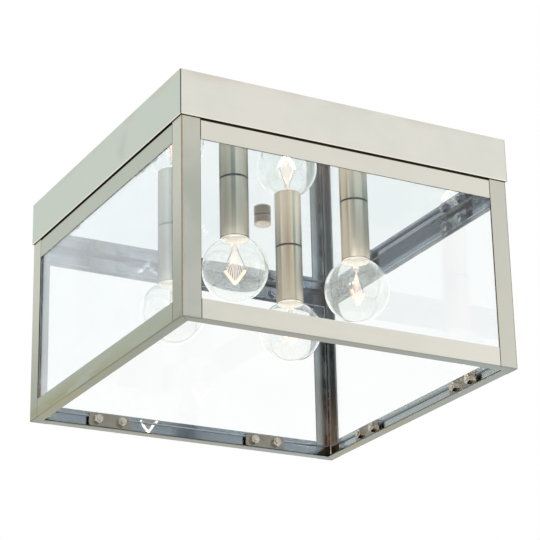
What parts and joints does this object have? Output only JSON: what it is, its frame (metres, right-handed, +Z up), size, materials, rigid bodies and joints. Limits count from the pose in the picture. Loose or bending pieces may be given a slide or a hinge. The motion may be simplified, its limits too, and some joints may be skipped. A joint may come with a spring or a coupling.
{
  "type": "outdoor ceiling light",
  "caption": "Flush square glass lantern on a sheet metal ceiling pan, open below, with globe bulbs on candle sleeves under a mirror plate.",
  "frame": {"origin": "on the ceiling plane at the middle of the pan, midway between the box screw slots", "axes": "+Z points up into the ceiling, +X runs along the mounting bar, -Y is the front side"},
  "size_m": [0.28, 0.28, 0.187],
  "materials": {
    "brushed_nickel": "brushed nickel plate",
    "mirror_plate": "polished to a mirror",
    "nickel_fasteners": "bright nickel plate",
    "zinc_plated_steel": "zinc plate",
    "green_screw": "green lacquer",
    "knurled_nickel": "knurled, nickel plate",
    "contact_brass": "drawn brass",
    "contact_solder": "tin solder",
    "cap_metal": "bright rolled thread",
    "satin_sleeve": "satin nickel plate",
    "holder_moulding": "moulded, matt",
    "pane_glass": "clear flat glass, seamed edges",
    "bulb_glass": "clear blown glass",
    "filament_mount": "glass stem, steel leads and a glowing tungsten filament"
  },
  "bodies": {
    "root": {"canopy_pan": "brushed_nickel", "reflector_plate": "mirror_plate", "frame_screws": "zinc_plated_steel", "clip_studs": "nickel_fasteners", "clip_plates": "brushed_nickel", "clip_nuts": "nickel_fasteners", "crossbar": "zinc_plated_steel", "crossbar_lock_nut": "zinc_plated_steel", "ground_screw": "green_screw", "centre_nipple": "zinc_plated_steel", "lampholder_contacts": "contact_brass", "lampholder_nipples": "zinc_plated_steel", "lampholder_lock_nuts": "zinc_plated_steel", "corner_post_front_left": "brushed_nickel", "corner_post_front_right": "brushed_nickel", "corner_post_back_right": "brushed_nickel", "corner_post_back_left": "brushed_nickel", "top_rail_front": "brushed_nickel", "bottom_rail_front": "brushed_nickel", "glass_pane_front": "pane_glass", "top_rail_right": "brushed_nickel", "bottom_rail_right": "brushed_nickel", "glass_pane_right": "pane_glass", "top_rail_back": "brushed_nickel", "bottom_rail_back": "brushed_nickel", "glass_pane_back": "pane_glass", "top_rail_left": "brushed_nickel", "bottom_rail_left": "brushed_nickel", "glass_pane_left": "pane_glass", "candle_sleeve_1": "satin_sleeve", "lampholder_body_1": "holder_moulding", "lampholder_shell_1": "contact_brass", "candle_sleeve_2": "satin_sleeve", "lampholder_body_2": "holder_moulding", "lampholder_shell_2": "contact_brass", "candle_sleeve_3": "satin_sleeve", "lampholder_body_3": "holder_moulding", "lampholder_shell_3": "contact_brass", "candle_sleeve_4": "satin_sleeve", "lampholder_body_4": "holder_moulding", "lampholder_shell_4": "contact_brass"},
    "bulb_1_button": {"bulb_contact_1": "contact_solder"},
    "bulb_1": {"bulb_globe_1": "bulb_glass", "bulb_cap_1": "cap_metal", "bulb_filament_1": "filament_mount"},
    "bulb_2_button": {"bulb_contact_2": "contact_solder"},
    "bulb_2": {"bulb_globe_2": "bulb_glass", "bulb_cap_2": "cap_metal", "bulb_filament_2": "filament_mount"},
    "bulb_3_button": {"bulb_contact_3": "contact_solder"},
    "bulb_3": {"bulb_globe_3": "bulb_glass", "bulb_cap_3": "cap_metal", "bulb_filament_3": "filament_mount"},
    "bulb_4_button": {"bulb_contact_4": "contact_solder"},
    "bulb_4": {"bulb_globe_4": "bulb_glass", "bulb_cap_4": "cap_metal", "bulb_filament_4": "filament_mount"},
    "finial_seat": {"finial_washer": "nickel_fasteners"},
    "finial": {"knurled_finial": "knurled_nickel"}
  },
  "joints": [
    {"name": "bulb_1_travel", "type": "slide", "parent": "root", "child": "bulb_1_button", "axis": [0, 0, -1], "range_m": [0, 0.00762]},
    {"name": "bulb_1_turn", "type": "hinge", "parent": "bulb_1_button", "child": "bulb_1", "pos_m": [-0.0531, -0.0531, -0.06], "axis": [0, 0, -1], "range_deg": [0, 1081]},
    {"name": "bulb_2_travel", "type": "slide", "parent": "root", "child": "bulb_2_button", "axis": [0, 0, -1], "range_m": [0, 0.00762]},
    {"name": "bulb_2_turn", "type": "hinge", "parent": "bulb_2_button", "child": "bulb_2", "pos_m": [0.0531, -0.0531, -0.06], "axis": [0, 0, -1], "range_deg": [0, 1081]},
    {"name": "bulb_3_travel", "type": "slide", "parent": "root", "child": "bulb_3_button", "axis": [0, 0, -1], "range_m": [0, 0.00762]},
    {"name": "bulb_3_turn", "type": "hinge", "parent": "bulb_3_button", "child": "bulb_3", "pos_m": [0.0531, 0.0531, -0.06], "axis": [0, 0, -1], "range_deg": [0, 1081]},
    {"name": "bulb_4_travel", "type": "slide", "parent": "root", "child": "bulb_4_button", "axis": [0, 0, -1], "range_m": [0, 0.00762]},
    {"name": "bulb_4_turn", "type": "hinge", "parent": "bulb_4_button", "child": "bulb_4", "pos_m": [-0.0531, 0.0531, -0.06], "axis": [0, 0, -1], "range_deg": [0, 1081]},
    {"name": "finial_travel", "type": "slide", "parent": "root", "child": "finial_seat", "axis": [0, 0, -1], "range_m": [0, 0.00564]},
    {"name": "finial_turn", "type": "hinge", "parent": "finial_seat", "child": "finial", "pos_m": [0, 0, -0.041], "axis": [0, 0, -1], "range_deg": [0, 2161]}
  ],
  "couplings": [
    {"joint": "bulb_1_turn", "follows": "bulb_1_travel", "rad_per_m": 2473.7},
    {"joint": "bulb_2_turn", "follows": "bulb_2_travel", "rad_per_m": 2473.7},
    {"joint": "bulb_3_turn", "follows": "bulb_3_travel", "rad_per_m": 2473.7},
    {"joint": "bulb_4_turn", "follows": "bulb_4_travel", "rad_per_m": 2473.7},
    {"joint": "finial_turn", "follows": "finial_travel", "rad_per_m": 6679}
  ]
}
